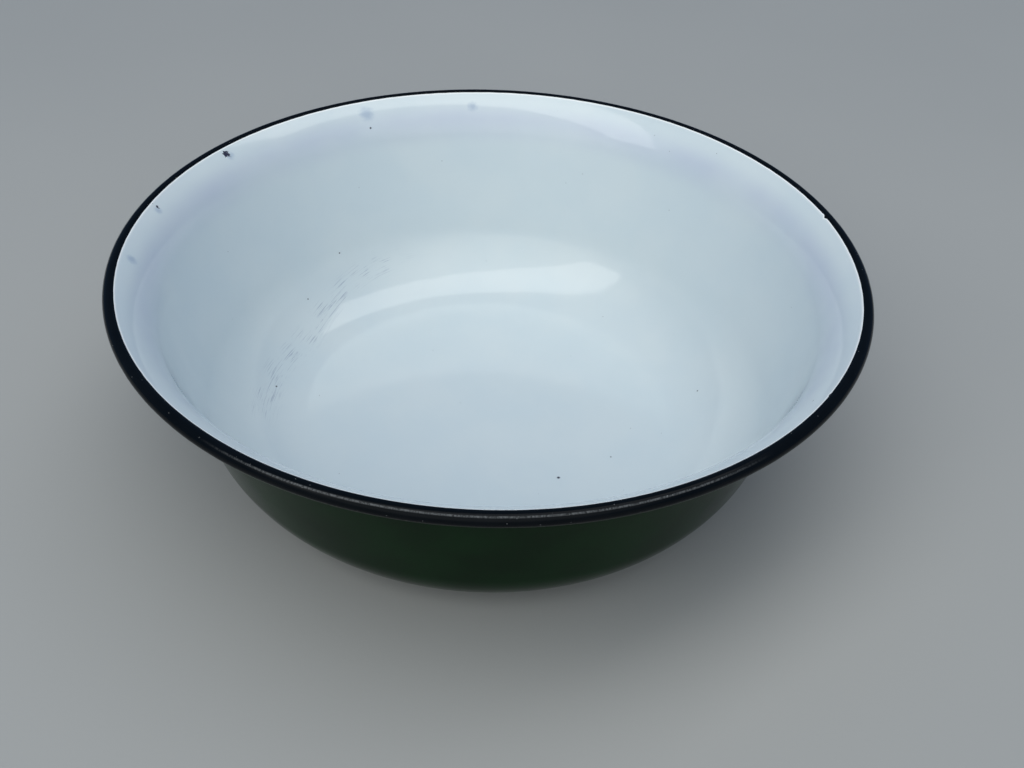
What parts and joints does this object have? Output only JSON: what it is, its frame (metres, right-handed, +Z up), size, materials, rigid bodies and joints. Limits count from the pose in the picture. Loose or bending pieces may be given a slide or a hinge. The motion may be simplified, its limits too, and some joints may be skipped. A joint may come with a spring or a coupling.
{
  "type": "wash basin",
  "caption": "Round enamelled steel wash basin with a flat foot, a steep wall, a rounded brim and a curled rim.",
  "frame": {"origin": "middle of the flat foot, on the surface that the basin stands on", "axes": "+Z up along the axis of revolution, towards the open mouth; +X and +Y are alike, because the basin is round"},
  "size_m": [0.36, 0.36, 0.1112],
  "materials": {
    "steel": "bare pressed sheet",
    "ground_coat": "dark fused glass",
    "white_enamel": "glossy, cool white",
    "green_enamel": "glossy, dark green",
    "black_enamel": "glossy, black"
  },
  "bodies": {
    "root": {"steel_shell": "steel", "inner_ground_coat": "ground_coat", "outer_ground_coat": "ground_coat", "inner_enamel": "white_enamel", "outer_enamel": "green_enamel", "rim_enamel": "black_enamel"}
  },
  "joints": []
}
